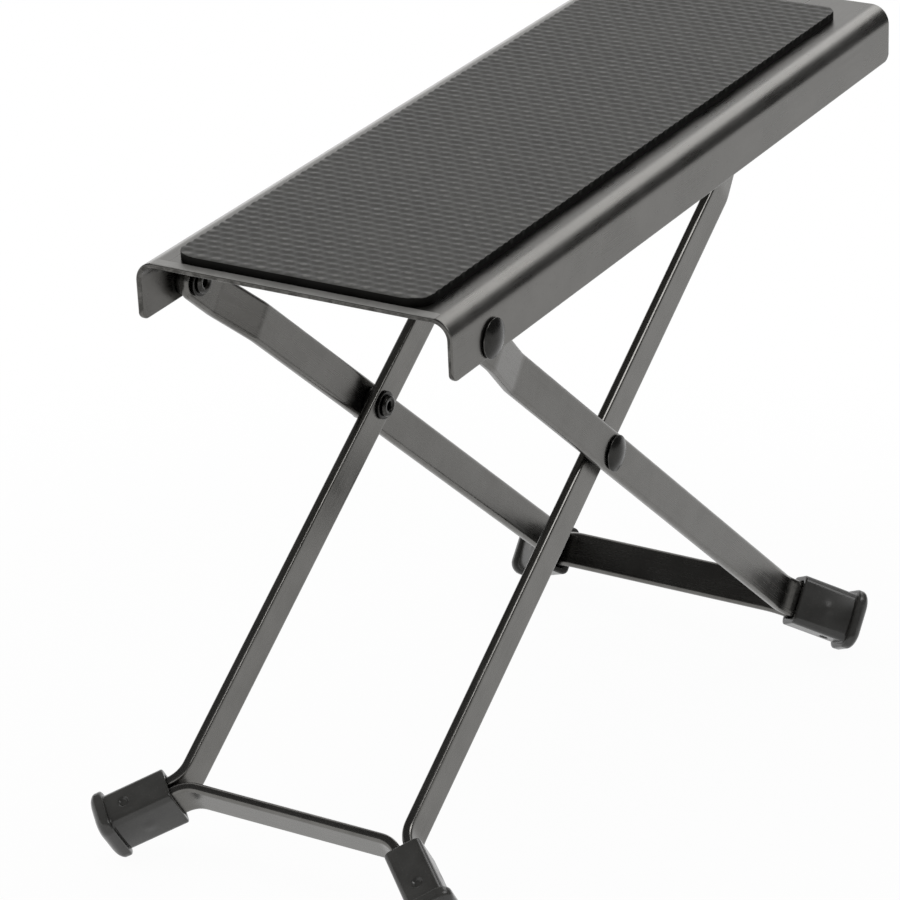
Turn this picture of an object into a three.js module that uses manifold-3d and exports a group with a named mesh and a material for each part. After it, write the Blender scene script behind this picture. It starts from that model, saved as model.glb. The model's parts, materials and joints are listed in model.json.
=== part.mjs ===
// Folding guitar footrest: a ribbed rubber pad on a steel tread, carried by two crossed strip frames.
// Millimetres. +X runs from the low end of the tread to its high end, +Y to the left, +Z up.
// The origin is on the floor, at the middle of the bounding box.
import * as THREE from 'three';
import { mergeVertices } from 'three/addons/utils/BufferGeometryUtils.js';
import Module from 'manifold-3d';

const wasm = await Module();
wasm.setup();

// Tread
const treadLength = 276;
const treadWidth = 100;
const flangeDepth = 18;
const sheetThickness = 1.5;
const treadBendRadius = 6;
const flangeCornerRadius = 3;
const pivotInset = 21;

// Rubber pad
const padLength = 257.5;
const padWidth = 79.5;
const padHeight = 2.9;
const padLowMargin = 3.5;
const padCornerRadius = 6;

// Strip frames
const stripWidth = 12;
const stripThickness = 3;
const stripEdgeRadius = 0.8;
const rearPivotReach = 105.4;
const rearFootReach = 155.9;
const rodReachExtra = 22.8;
const frontFootReach = 136.6;
const joggleDepth = 3.5;
const rearJoggleStart = 13;
const frontJoggleStart = 12;
const joggleLength = 20;
const joggleRadius = 14;
const openAngle = THREE.MathUtils.degToRad(106.03);
const legBendRadius = 9.5;
const crossbarBendRadius = 9.5;
const lugAngle = THREE.MathUtils.degToRad(47);
const lugLength = 18.5;
const lugGap = 0.8;

// Rubber feet
const sleeveWall = 1.9;
const sleeveEnd = 21.3;
const sleeveCornerRadius = 2;
const capOverhang = 1.7;
const capThickness = 1.9;
const capRound = 1.5;

// Rivets, washers and the lock rod
const shankRadius = 2.4;
const treadHeadRadius = 5.7;
const treadHeadHeight = 2;
const middleHeadRadius = 5.5;
const middleHeadHeight = 1.9;
const rolledEndRadius = 3.4;
const rolledEndHeight = 1.1;
const rivetBoreRadius = 1.3;
const spacerThickness = 1.2;
const spacerRadius = 4.8;
const washerThickness = 0.6;
const washerRadius = 4.4;
const rodRadius = 3;
const rodTenonRadius = 2.2;
const rodHeadRadius = 3.9;
const rodHeadHeight = 1.6;

// Height rack
const rackThickness = 1.5;
const rackFlangeWidth = 9;
const rackSideRoom = 5;
const rackEndMargin = 7.5;
const rackBack = 1.7;
const notchPitch = 15;
const notchCount = 5;
const notchInUse = 2;
const notchDepth = 4;
const laneRoom = 0.4;

// Fits
const seatGap = 0.3;
const overrun = 5;
const arcSteps = 5;
const roundSides = 24;
const stepAngle = THREE.MathUtils.degToRad(18);

// Colours
const steel = { color: 0x6a6864, roughness: 0.42, metalness: 0.85 };
const darkSteel = { color: 0x3c3b39, roughness: 0.4, metalness: 0.9 };
const rubber = { color: 0x2b2a28, roughness: 0.7, metalness: 0 };
const padRubber = { color: 0x4c4b47, roughness: 0.8, metalness: 0 };

// Places that several pieces share
const flangeInside = treadWidth / 2 - sheetThickness;
const rearTopSide = flangeInside - spacerThickness - 2 * seatGap - stripThickness / 2;
const rearSide = rearTopSide - joggleDepth;
const frontSide = rearSide - stripThickness - spacerThickness - 2 * seatGap;
const frontTopSide = frontSide - joggleDepth;
const lugHalfPitch = (stripThickness + lugGap) / 2;
const stripEndRadius = stripWidth / 2;

// The triangle of tread pivot, middle pivot and lock rod, with the frames open as in use.
// The rod lies further from the middle pivot than the tread pivot does, by rodReachExtra.
const frontRodReach = rearPivotReach + rodReachExtra;
const rodReach = farSide(rearPivotReach, frontRodReach, openAngle);
const treadAngle = cornerAngle(rearPivotReach, rodReach, frontRodReach);
const rodAngle = Math.PI - treadAngle - openAngle;
const foldRatio = treadAngle / (Math.PI - openAngle);
const notchPlaces = [];
for (let index = 0; index < notchCount; index += 1) {
  notchPlaces.push(rodPlace(rodReach + (index - notchInUse) * notchPitch));
}

// The tread pivot lies so deep that the rack's back spans the notch that reaches highest.
const notchRise = Math.max(...notchPlaces.map(({ rise }) => rise));
const rackRoom = sheetThickness + seatGap + rackBack + notchDepth;
const pivotDepth = rackRoom + laneRoom + rodRadius + notchRise;

// The angle between two sides of a triangle, from those sides and the one facing it.
function cornerAngle(sideA, sideB, facing) {
  return Math.acos((sideA ** 2 + sideB ** 2 - facing ** 2) / (2 * sideA * sideB));
}

// Where the lock rod runs for an opening of the frames, from the tread pivot along and square to
// the tread, which turns on that pivot by a constant share of the turn between the frames.
function rodPlace(reach) {
  const opening = cornerAngle(rearPivotReach, frontRodReach, reach);
  const lean = treadAngle - (opening - openAngle) * foldRatio;
  const climb = Math.PI - lean - opening;
  const along = rearPivotReach * Math.cos(lean) + frontRodReach * Math.cos(climb);
  const rise = frontRodReach * Math.sin(climb) - rearPivotReach * Math.sin(lean);
  return { along, rise };
}

// The side facing an angle of a triangle, from that angle and the sides beside it.
function farSide(sideA, sideB, angle) {
  return Math.sqrt(sideA ** 2 + sideB ** 2 - 2 * sideA * sideB * Math.cos(angle));
}

// Solids and meshes
function toSolid(geometry) {
  const bare = geometry.clone();
  bare.deleteAttribute('normal');
  bare.deleteAttribute('uv');
  const merged = mergeVertices(bare, 1e-4);
  const vertProperties = Float32Array.from(merged.attributes.position.array);
  const triVerts = Uint32Array.from(merged.index.array);
  return new wasm.Manifold(new wasm.Mesh({ numProp: 3, vertProperties, triVerts }));
}

function toGeometry(solid) {
  const mesh = solid.getMesh();
  const indexed = new THREE.BufferGeometry();
  indexed.setAttribute('position', new THREE.BufferAttribute(mesh.vertProperties, 3));
  indexed.setIndex(new THREE.BufferAttribute(mesh.triVerts, 1));
  const geometry = indexed.toNonIndexed();
  geometry.computeVertexNormals();
  return geometry;
}

function addPiece(parent, name, geometry, look) {
  const mesh = new THREE.Mesh(geometry, new THREE.MeshStandardMaterial(look));
  mesh.name = name;
  parent.add(mesh);
  return mesh;
}

// A straight block of an outline, from one height to another along Z.
function block(shape, low, high) {
  const geometry = new THREE.ExtrudeGeometry(shape, {
    depth: high - low,
    bevelEnabled: false,
    curveSegments: arcSteps,
  });
  return geometry.translate(0, 0, low);
}

// A block of an outline drawn in X and Z, centred across Y.
function crossBlock(shape, width) {
  return block(shape, -width / 2, width / 2).rotateX(Math.PI / 2);
}

// A cylinder along Y, centred at a place in X and Z.
function crossPin(radius, width, x, z) {
  return new THREE.CylinderGeometry(radius, radius, width, roundSides).translate(x, 0, z);
}

function roundedRectangle(lowX, highX, lowY, highY, radius) {
  const shape = new THREE.Shape();
  shape.moveTo(lowX + radius, lowY);
  shape.lineTo(highX - radius, lowY);
  shape.absarc(highX - radius, lowY + radius, radius, -Math.PI / 2, 0);
  shape.lineTo(highX, highY - radius);
  shape.absarc(highX - radius, highY - radius, radius, 0, Math.PI / 2);
  shape.lineTo(lowX + radius, highY);
  shape.absarc(lowX + radius, highY - radius, radius, Math.PI / 2, Math.PI);
  shape.lineTo(lowX, lowY + radius);
  shape.absarc(lowX + radius, lowY + radius, radius, Math.PI, 1.5 * Math.PI);
  return shape;
}

// A turned piece about the Y axis from its half section, given as radius and place pairs.
function turned(section) {
  const points = section.map(([radius, place]) => new THREE.Vector2(radius, place));
  return new THREE.LatheGeometry(points, roundSides);
}

// A quarter ellipse from the axis out to a rim: a domed head, facing +Y.
function domeSection(radius, height, base) {
  const points = [];
  for (let step = 0; step <= arcSteps; step += 1) {
    const angle = (1 - step / arcSteps) * Math.PI / 2;
    points.push([radius * Math.cos(angle), base + height * Math.sin(angle)]);
  }
  points[0][0] = 0;
  return points;
}

// Tread plate: a channel with round bends and open ends
function channelOutline() {
  const side = treadWidth / 2;
  const inner = treadBendRadius - sheetThickness;
  const bend = side - treadBendRadius;
  const shape = new THREE.Shape();
  shape.moveTo(-side, -flangeDepth);
  shape.lineTo(-flangeInside, -flangeDepth);
  shape.lineTo(-flangeInside, -treadBendRadius);
  shape.absarc(-bend, -treadBendRadius, inner, Math.PI, Math.PI / 2, true);
  shape.lineTo(bend, -sheetThickness);
  shape.absarc(bend, -treadBendRadius, inner, Math.PI / 2, 0, true);
  shape.lineTo(flangeInside, -flangeDepth);
  shape.lineTo(side, -flangeDepth);
  shape.lineTo(side, -treadBendRadius);
  shape.absarc(bend, -treadBendRadius, treadBendRadius, 0, Math.PI / 2);
  shape.lineTo(-bend, 0);
  shape.absarc(-bend, -treadBendRadius, treadBendRadius, Math.PI / 2, Math.PI);
  return shape;
}

function treadPlate() {
  const channel = block(channelOutline(), 0, treadLength);
  channel.rotateX(Math.PI / 2).rotateZ(Math.PI / 2);
  const fullWidth = treadWidth + 2 * overrun;
  const sideView = roundedRectangle(0, treadLength, -flangeDepth, flangeDepth, flangeCornerRadius);
  const trimmed = toSolid(channel).intersect(toSolid(crossBlock(sideView, fullWidth)));
  const hole = crossPin(shankRadius + seatGap, fullWidth, pivotInset, -pivotDepth);
  return toGeometry(trimmed.subtract(toSolid(hole)));
}

// The pad: a slab with upright walls and small corners, its fine ribs left off here.
function treadPad() {
  const halfWidth = padWidth / 2;
  const highEnd = padLowMargin + padLength;
  const outline = roundedRectangle(padLowMargin, highEnd, -halfWidth, halfWidth, padCornerRadius);
  return toGeometry(toSolid(block(outline, seatGap, padHeight)));
}

// Rack: an angle strip under the tread, its web notched for the lock rod.
// The tooth tips follow the lane that the rod takes when the frames open and close.
function rackWebOutline() {
  const top = -sheetThickness - seatGap;
  const halfNotch = rodRadius + seatGap;
  const tipHeight = rodRadius + laneRoom - pivotDepth;
  const notches = notchPlaces.map(({ along, rise }) => ({
    x: pivotInset + along,
    tip: rise + tipHeight,
  }));
  const first = notches[0];
  const last = notches[notchCount - 1];
  const shape = new THREE.Shape();
  shape.moveTo(last.x + rackEndMargin, top);
  shape.lineTo(first.x - rackEndMargin, top);
  shape.lineTo(first.x - rackEndMargin, first.tip + laneRoom);
  for (const notch of notches) {
    const roof = notch.tip + notchDepth - halfNotch;
    shape.lineTo(notch.x - halfNotch, notch.tip);
    shape.lineTo(notch.x - halfNotch, roof);
    shape.absarc(notch.x, roof, halfNotch, Math.PI, 0, true);
    shape.lineTo(notch.x + halfNotch, notch.tip);
  }
  shape.lineTo(last.x + rackEndMargin, last.tip);
  return { shape, lowX: first.x - rackEndMargin, highX: last.x + rackEndMargin, top };
}

function rack(side) {
  const web = rackWebOutline();
  const outer = frontTopSide - stripThickness / 2 - rackSideRoom;
  const webBlock = crossBlock(web.shape, rackThickness).translate(0, outer - rackThickness / 2, 0);
  const ledge = new THREE.Shape();
  ledge.moveTo(web.lowX, outer - rackFlangeWidth);
  ledge.lineTo(web.highX, outer - rackFlangeWidth);
  ledge.lineTo(web.highX, outer);
  ledge.lineTo(web.lowX, outer);
  const whole = toSolid(webBlock).add(toSolid(block(ledge, web.top - rackThickness, web.top)));
  return toGeometry(side > 0 ? whole : whole.mirror([0, 1, 0]));
}

// Points with directions along a path of straight runs, its corners rounded
function roundedPath(corners) {
  const samples = [];
  const start = corners[0];
  const second = corners[1];
  const startAngle = Math.atan2(second.y - start.y, second.x - start.x);
  samples.push({ x: start.x, y: start.y, angle: startAngle });
  for (let index = 1; index < corners.length - 1; index += 1) {
    const before = corners[index - 1];
    const here = corners[index];
    const after = corners[index + 1];
    const angleIn = Math.atan2(here.y - before.y, here.x - before.x);
    const angleOut = Math.atan2(after.y - here.y, after.x - here.x);
    const turn = Math.atan2(Math.sin(angleOut - angleIn), Math.cos(angleOut - angleIn));
    const reach = here.radius * Math.tan(Math.abs(turn) / 2);
    const hand = Math.sign(turn);
    const centreX = here.x - reach * Math.cos(angleIn) - hand * here.radius * Math.sin(angleIn);
    const centreY = here.y - reach * Math.sin(angleIn) + hand * here.radius * Math.cos(angleIn);
    const steps = Math.ceil(Math.abs(turn) / stepAngle);
    for (let step = 0; step <= steps; step += 1) {
      const angle = angleIn + turn * step / steps;
      samples.push({
        x: centreX + hand * here.radius * Math.sin(angle),
        y: centreY - hand * here.radius * Math.cos(angle),
        angle,
      });
    }
  }
  const last = corners[corners.length - 1];
  const previous = corners[corners.length - 2];
  const lastAngle = Math.atan2(last.y - previous.y, last.x - previous.x);
  samples.push({ x: last.x, y: last.y, angle: lastAngle });
  return samples;
}

// The outline of a strip seen on edge, laid along a path
function stripOutline(corners) {
  const samples = roundedPath(corners);
  const offset = (hand) => samples.map(({ x, y, angle }) => {
    const shift = hand * stripThickness / 2;
    return new THREE.Vector2(x - shift * Math.sin(angle), y + shift * Math.cos(angle));
  });
  return new THREE.Shape([...offset(-1), ...offset(1).reverse()]);
}

// One frame: a single strip that runs down a leg, folds back on itself in a lug for the foot,
// crosses to the other lug and runs up the other leg. X is the way down the leg from the middle pivot.
function frameCorners(topReach, joggleStart, topSide, side, footReach) {
  const along = { x: Math.cos(lugAngle), y: Math.sin(lugAngle) };
  const across = { x: -Math.sin(lugAngle), y: Math.cos(lugAngle) };
  const turnPlace = lugLength - stripThickness / 2;
  const lugEnd = (offset) => ({
    x: footReach + along.x * turnPlace + across.x * offset,
    y: side + along.y * turnPlace + across.y * offset,
    radius: lugHalfPitch,
  });
  const joggleX = joggleStart - topReach;
  const half = [
    { x: -topReach - stripEndRadius, y: topSide },
    { x: joggleX, y: topSide, radius: joggleRadius },
    { x: joggleX + joggleLength, y: side, radius: joggleRadius },
    { x: footReach - lugHalfPitch / Math.sin(lugAngle), y: side, radius: legBendRadius },
    lugEnd(lugHalfPitch),
    lugEnd(-lugHalfPitch),
    { x: footReach, y: side - lugHalfPitch / Math.cos(lugAngle), radius: crossbarBendRadius },
  ];
  const mirrored = half.map((corner) => ({ ...corner, y: -corner.y }));
  return [...half, ...mirrored.reverse()];
}

function stripFrame(corners, topReach, pins) {
  const strip = new THREE.ExtrudeGeometry(stripOutline(corners), {
    depth: stripWidth - 2 * stripEdgeRadius,
    bevelEnabled: true,
    bevelThickness: stripEdgeRadius,
    bevelSize: stripEdgeRadius,
    bevelOffset: -stripEdgeRadius,
    bevelSegments: 1,
  });
  strip.translate(0, 0, stripEdgeRadius - stripWidth / 2);
  const farEnd = rearFootReach + frontFootReach + lugLength;
  const sideView = new THREE.Shape();
  sideView.moveTo(farEnd, -stripWidth);
  sideView.lineTo(farEnd, stripWidth);
  sideView.lineTo(-topReach + stripEndRadius, stripWidth);
  sideView.lineTo(-topReach + stripEndRadius, stripEndRadius);
  sideView.lineTo(-topReach, stripEndRadius);
  sideView.absarc(-topReach, 0, stripEndRadius, Math.PI / 2, 1.5 * Math.PI);
  sideView.lineTo(-topReach + stripEndRadius, -stripEndRadius);
  sideView.lineTo(-topReach + stripEndRadius, -stripWidth);
  let solid = toSolid(strip).intersect(toSolid(crossBlock(sideView, 2 * treadWidth)));
  for (const pin of pins) {
    const hole = crossPin(pin.radius + seatGap, treadWidth + 2 * overrun, pin.x, 0);
    solid = solid.subtract(toSolid(hole));
  }
  return toGeometry(solid);
}

// Where a lug's two layers are both straight, measured from the corner of leg and crossbar
function lugStraightStart() {
  const legEnd = legBendRadius * Math.tan(lugAngle / 2) - lugHalfPitch / Math.tan(lugAngle);
  const crossbarTurn = Math.PI / 2 - lugAngle;
  const crossbarEnd = crossbarBendRadius * Math.tan(crossbarTurn / 2)
    - lugHalfPitch * Math.tan(lugAngle);
  return Math.max(legEnd, crossbarEnd);
}

// Rubber foot: a sleeve over the lug, closed by a wider domed cap. X is the way out along the lug.
function foot() {
  const pocketY = lugHalfPitch + stripThickness / 2 + seatGap;
  const pocketZ = stripWidth / 2 + seatGap;
  const sleeveY = pocketY + sleeveWall;
  const sleeveZ = pocketZ + sleeveWall;
  const section = (halfY, halfZ, radius) => roundedRectangle(-halfZ, halfZ, -halfY, halfY, radius);
  const stand = (geometry) => geometry.rotateY(Math.PI / 2);
  const mouth = lugStraightStart() + seatGap;
  const outside = section(sleeveY, sleeveZ, sleeveCornerRadius);
  const sleeve = stand(block(outside, mouth, sleeveEnd + capRound));
  const rim = capOverhang - capRound;
  const cap = new THREE.ExtrudeGeometry(section(sleeveY + rim, sleeveZ + rim, sleeveCornerRadius), {
    depth: capThickness,
    bevelEnabled: true,
    bevelThickness: capRound,
    bevelSize: capRound,
    bevelSegments: 3,
    curveSegments: arcSteps,
  });
  const capSolid = toSolid(stand(cap.translate(0, 0, sleeveEnd + capRound)));
  const inside = section(pocketY, pocketZ, stripEdgeRadius);
  const pocket = stand(block(inside, -overrun, lugLength + seatGap));
  return toGeometry(toSolid(sleeve).add(capSolid).subtract(toSolid(pocket)));
}

// A rivet along +Y: domed head outside, plain shank, and a rolled hollow end inside.
function rivet(headRadius, headHeight, shankLength) {
  const section = domeSection(headRadius, headHeight, shankLength);
  section.push([shankRadius, shankLength]);
  section.push([shankRadius, 0]);
  section.push([rolledEndRadius, 0]);
  section.push([rolledEndRadius, -rolledEndHeight / 2]);
  section.push([rolledEndRadius - rolledEndHeight / 2, -rolledEndHeight]);
  section.push([rivetBoreRadius, -rolledEndHeight]);
  section.push([rivetBoreRadius, shankLength / 2]);
  section.push([0, shankLength / 2]);
  return turned(section.reverse());
}

function washer(radius, thickness) {
  const inner = shankRadius + seatGap;
  const section = [
    [inner, 0],
    [radius, 0],
    [radius, thickness],
    [inner, thickness],
    [inner, 0],
  ];
  return turned(section);
}

// Lock rod: a bar between the tops of the front frame, its stepped ends headed over outside.
function lockRod() {
  const shoulder = frontTopSide - stripThickness / 2 - seatGap;
  const headBase = frontTopSide + stripThickness / 2 + seatGap;
  const half = domeSection(rodHeadRadius, rodHeadHeight, headBase);
  half.push([rodTenonRadius, headBase]);
  half.push([rodTenonRadius, shoulder]);
  half.push([rodRadius, shoulder]);
  const mirrored = half.map(([radius, place]) => [radius, -place]);
  return turned([...mirrored, ...half.reverse()]);
}

// Places a turned piece so that its own +Y points out on either side.
function placeAcross(mesh, side, x, y, z) {
  mesh.position.set(x, side * y, z);
  mesh.rotation.x = side > 0 ? 0 : Math.PI;
}

const sides = [
  { name: 'left', sign: 1 },
  { name: 'right', sign: -1 },
];

// Tread and what it carries, in axes along and square to the tread
const tread = new THREE.Group();
addPiece(tread, 'tread_plate', treadPlate(), steel);
addPiece(tread, 'tread_pad', treadPad(), padRubber);
for (const side of sides) {
  addPiece(tread, `rack_${side.name}`, rack(side.sign), steel);
}

const spacer = washer(spacerRadius, spacerThickness);
const innerWasher = washer(washerRadius, washerThickness);
const washerRoom = spacerThickness + washerThickness;
const treadStack = sheetThickness + washerRoom + stripThickness + 5 * seatGap;
const treadRivet = rivet(treadHeadRadius, treadHeadHeight, treadStack + seatGap);
for (const side of sides) {
  const innerEnd = treadWidth / 2 - treadStack;
  const pin = addPiece(tread, `tread_rivet_${side.name}`, treadRivet, darkSteel);
  placeAcross(pin, side.sign, pivotInset, innerEnd, -pivotDepth);
  const outer = addPiece(tread, `tread_spacer_${side.name}`, spacer, darkSteel);
  placeAcross(outer, side.sign, pivotInset, flangeInside - seatGap - spacerThickness, -pivotDepth);
  const inner = addPiece(tread, `tread_washer_${side.name}`, innerWasher, darkSteel);
  placeAcross(inner, side.sign, pivotInset, innerEnd + seatGap, -pivotDepth);
}

// Frames, each in axes along its leg, with the middle pivot at the origin
function addFeet(frame, prefix, footReach, side) {
  for (const { name, sign } of sides) {
    const mesh = addPiece(frame, `${prefix}_foot_${name}`, foot(), rubber);
    mesh.position.set(footReach, sign * side, 0);
    mesh.rotation.z = sign * lugAngle;
  }
}

const rearFrame = new THREE.Group();
const rearCorners = frameCorners(rearPivotReach, rearJoggleStart, rearTopSide, rearSide, rearFootReach);
const rearPins = [
  { x: -rearPivotReach, radius: shankRadius },
  { x: 0, radius: shankRadius },
];
addPiece(rearFrame, 'rear_frame', stripFrame(rearCorners, rearPivotReach, rearPins), steel);
addFeet(rearFrame, 'rear', rearFootReach, rearSide);

const middleStack = 2 * stripThickness + washerRoom + 4 * seatGap;
const middleRivet = rivet(middleHeadRadius, middleHeadHeight, middleStack + seatGap);
for (const side of sides) {
  const innerEnd = rearSide + stripThickness / 2 - middleStack;
  const pin = addPiece(rearFrame, `middle_rivet_${side.name}`, middleRivet, darkSteel);
  placeAcross(pin, side.sign, 0, innerEnd, 0);
  const outer = addPiece(rearFrame, `middle_spacer_${side.name}`, spacer, darkSteel);
  placeAcross(outer, side.sign, 0, frontSide + stripThickness / 2 + seatGap, 0);
  const inner = addPiece(rearFrame, `middle_washer_${side.name}`, innerWasher, darkSteel);
  placeAcross(inner, side.sign, 0, innerEnd + seatGap, 0);
}

const frontFrame = new THREE.Group();
const frontCorners = frameCorners(frontRodReach, frontJoggleStart, frontTopSide, frontSide, frontFootReach);
const frontPins = [
  { x: -frontRodReach, radius: rodTenonRadius },
  { x: 0, radius: shankRadius },
];
addPiece(frontFrame, 'front_frame', stripFrame(frontCorners, frontRodReach, frontPins), steel);
addFeet(frontFrame, 'front', frontFootReach, frontSide);
addPiece(frontFrame, 'lock_rod', lockRod(), steel).position.x = -frontRodReach;

// Both frames hang on the tread's pivots at the angles of the triangle.
const middleX = pivotInset + rearPivotReach * Math.cos(treadAngle);
const middleZ = -pivotDepth - rearPivotReach * Math.sin(treadAngle);
rearFrame.position.set(middleX, 0, middleZ);
rearFrame.rotation.y = treadAngle;
frontFrame.position.set(middleX, 0, middleZ);
frontFrame.rotation.y = Math.PI - rodAngle;

// The lowest point of both feet of a frame
function lowest(frame) {
  frame.updateWorldMatrix(true, true);
  let low = Infinity;
  for (const piece of frame.children) {
    if (piece.name.includes('foot')) {
      low = Math.min(low, new THREE.Box3().setFromObject(piece, true).min.z);
    }
  }
  return low;
}

// Tips the whole thing until the front and rear feet stand on one level.
const assembly = new THREE.Group();
assembly.add(tread, rearFrame, frontFrame);
const stance = 2 * Math.cos(treadAngle) * Math.min(rearFootReach, frontFootReach);
for (let round = 0; round < 8; round += 1) {
  const step = lowest(rearFrame) - lowest(frontFrame);
  assembly.rotation.y += Math.atan2(step, stance);
}

const footrest = new THREE.Group();
footrest.add(assembly);
footrest.updateWorldMatrix(true, true);
const bounds = new THREE.Box3().setFromObject(footrest, true);
assembly.position.x -= (bounds.min.x + bounds.max.x) / 2;
assembly.position.z -= bounds.min.z;
footrest.updateWorldMatrix(true, true);

// Places and angles that the record repeats
const treadPivot = tread.localToWorld(new THREE.Vector3(pivotInset, 0, -pivotDepth));
const middlePivot = rearFrame.localToWorld(new THREE.Vector3());
const size = new THREE.Box3().setFromObject(footrest, true).getSize(new THREE.Vector3());
console.log('tread pivot', treadPivot.toArray());
console.log('middle pivot', middlePivot.toArray());
console.log('tilt, degrees', THREE.MathUtils.radToDeg(-assembly.rotation.y));
console.log('fold ratio', foldRatio, 'rod reach', rodReach, 'pivot depth', pivotDepth);
console.log('size', size.toArray());

export default footrest;
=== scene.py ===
import json

import bmesh
import bpy
import numpy as np
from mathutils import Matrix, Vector


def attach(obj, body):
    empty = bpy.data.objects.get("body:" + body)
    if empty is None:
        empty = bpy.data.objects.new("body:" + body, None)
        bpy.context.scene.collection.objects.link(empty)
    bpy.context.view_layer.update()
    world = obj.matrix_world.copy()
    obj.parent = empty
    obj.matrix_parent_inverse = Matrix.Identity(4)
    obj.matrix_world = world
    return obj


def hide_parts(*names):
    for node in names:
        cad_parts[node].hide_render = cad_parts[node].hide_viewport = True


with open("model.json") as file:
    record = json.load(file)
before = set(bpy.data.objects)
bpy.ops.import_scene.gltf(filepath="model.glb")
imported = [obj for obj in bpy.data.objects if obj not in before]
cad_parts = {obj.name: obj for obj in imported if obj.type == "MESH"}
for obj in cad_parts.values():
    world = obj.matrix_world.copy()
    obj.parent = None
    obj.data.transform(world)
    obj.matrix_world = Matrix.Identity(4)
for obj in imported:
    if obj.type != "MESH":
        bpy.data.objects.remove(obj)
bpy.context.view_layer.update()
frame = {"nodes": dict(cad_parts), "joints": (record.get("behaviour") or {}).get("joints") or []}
mm = 0.001

# Lengths in the pieces' dictionaries are millimetres, in the studio's and the camera's place metres,
# and angles are degrees.

# The three moving groups, each turned about +Y and standing on its own pivot
pivots = {joint["name"]: np.array(joint["pos_m"]) / mm for joint in frame["joints"]}
stance = {
    "tread": {"turn": -6.797688, "at": pivots["tread_fold"], "from": (21, 0, -12.91404)},
    "rear": {"turn": 34.391542, "at": pivots["frame_fold"], "from": (0, 0, 0)},
    "front": {"turn": 140.421542, "at": pivots["frame_fold"], "from": (0, 0, 0)},
}


# A point of a group, measured from the group's pivot, turned about +Y and moved to the pivot
def stand(points, group):
    place = stance[group]
    angle = np.radians(place["turn"])
    x, y, z = np.moveaxis(np.asarray(points, float) - place["from"], -1, 0)
    turned = np.stack([
        x * np.cos(angle) + z * np.sin(angle),
        y,
        z * np.cos(angle) - x * np.sin(angle),
    ], -1)
    return turned + place["at"]


def addObject(name, data):
    made = bpy.data.objects.new(name, data)
    bpy.context.scene.collection.objects.link(made)
    return made


# Camera
camera = {
    "place": (-0.959015, -0.527266, 0.479975),
    "turn": (70.57170107, -1.12137114, -59.74450299),
    "lens": 154.0758557,
    "sensor": 36,
    "clipEnd": 50,
}
cameraData = bpy.data.cameras.new("camera")
cameraData.lens = camera["lens"]
cameraData.sensor_width = camera["sensor"]
cameraData.clip_end = camera["clipEnd"]
cameraObject = addObject("camera", cameraData)
cameraObject.location = camera["place"]
cameraObject.rotation_euler = np.radians(camera["turn"])
bpy.context.scene.camera = cameraObject
print("camera set")


# Meshes

# Faces between neighbouring rows and columns of a grid, joined up where a direction is closed
def gridFaces(rows, columns, closeRows=False, closeColumns=False):
    row = np.arange(rows if closeRows else rows - 1)[:, None]
    column = np.arange(columns if closeColumns else columns - 1)[None, :]
    nextRow, nextColumn = (row + 1) % rows, (column + 1) % columns
    corners = [row * columns + column, row * columns + nextColumn,
               nextRow * columns + nextColumn, nextRow * columns + column]
    return np.stack([np.broadcast_to(c, (row.size, column.size)) for c in corners], -1).reshape(-1, 4)


# Merges points closer than the weld, joins faces in one plane and turns faces outwards, where asked for
def rework(mesh, weld=0, flatAngle=0, outwards=False):
    work = bmesh.new()
    work.from_mesh(mesh)
    if weld:
        bmesh.ops.remove_doubles(work, verts=work.verts, dist=weld * mm)
    if flatAngle:
        bmesh.ops.dissolve_limit(work, angle_limit=np.radians(flatAngle), verts=work.verts,
                                 edges=work.edges)
    if outwards:
        bmesh.ops.recalc_face_normals(work, faces=work.faces)
    work.to_mesh(mesh)
    work.free()


# A mesh object from points in millimetres, faces, and marks that the materials read at each point
def makePiece(name, points, faces, marks=None, weld=0):
    mesh = bpy.data.meshes.new(name)
    mesh.from_pydata((points.reshape(-1, 3) * mm).tolist(), [], [list(face) for face in faces])
    for label, values in (marks or {}).items():
        flat = np.asarray(values, np.float32)
        vector = flat.shape[-1] == 3 and flat.ndim > 1
        kind, field = ("FLOAT_VECTOR", "vector") if vector else ("FLOAT", "value")
        mesh.attributes.new(label, kind, "POINT").data.foreach_set(field, flat.reshape(-1))
    mesh.polygons.foreach_set("use_smooth", [True] * len(mesh.polygons))
    if weld:
        rework(mesh, weld, outwards=True)
    return addObject(name, mesh)


# Rings of points one after the other make a skin; a fan to the middle of an end ring closes that end
def makeSkin(name, rings, marks, group, closedLoop=False):
    count, around = rings.shape[:2]
    faces = gridFaces(count, around, closeRows=closedLoop, closeColumns=True).tolist()
    points = rings.reshape(-1, 3)
    flat = {label: np.asarray(v, float).reshape(count * around, -1) for label, v in marks.items()}
    if not closedLoop:
        here = np.arange(around)
        after = (here + 1) % around
        last = (count - 1) * around
        first, final = count * around, count * around + 1
        faces += np.stack([after, here, np.full(around, first)], -1).tolist()
        faces += np.stack([last + here, last + after, np.full(around, final)], -1).tolist()
        points = np.concatenate([points, rings[0].mean(0)[None], rings[-1].mean(0)[None]])
        for label, values in flat.items():
            ends = [values[:around].mean(0)[None], values[last:].mean(0)[None]]
            flat[label] = np.concatenate([values, *ends])
    flat = {label: values[:, 0] if values.shape[1] == 1 else values for label, values in flat.items()}
    made = makePiece(name, stand(points, group), faces, flat)
    rework(made.data, outwards=True)
    return made


# The piece moves with its body, stands for its CAD node and wears its material
def settle(made, body, node, slot, *materials):
    for material in materials:
        made.data.materials.append(material)
    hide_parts(node)
    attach(made, body)


# How far a quarter circle of this radius has sunk below its top, this far in from its edge
def quarterSink(radius, inset):
    return radius - np.sqrt(radius ** 2 - np.clip(radius - inset, 0, radius) ** 2)


sectionLook = {"arcCuts": 7, "edgeGain": 3}


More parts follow.
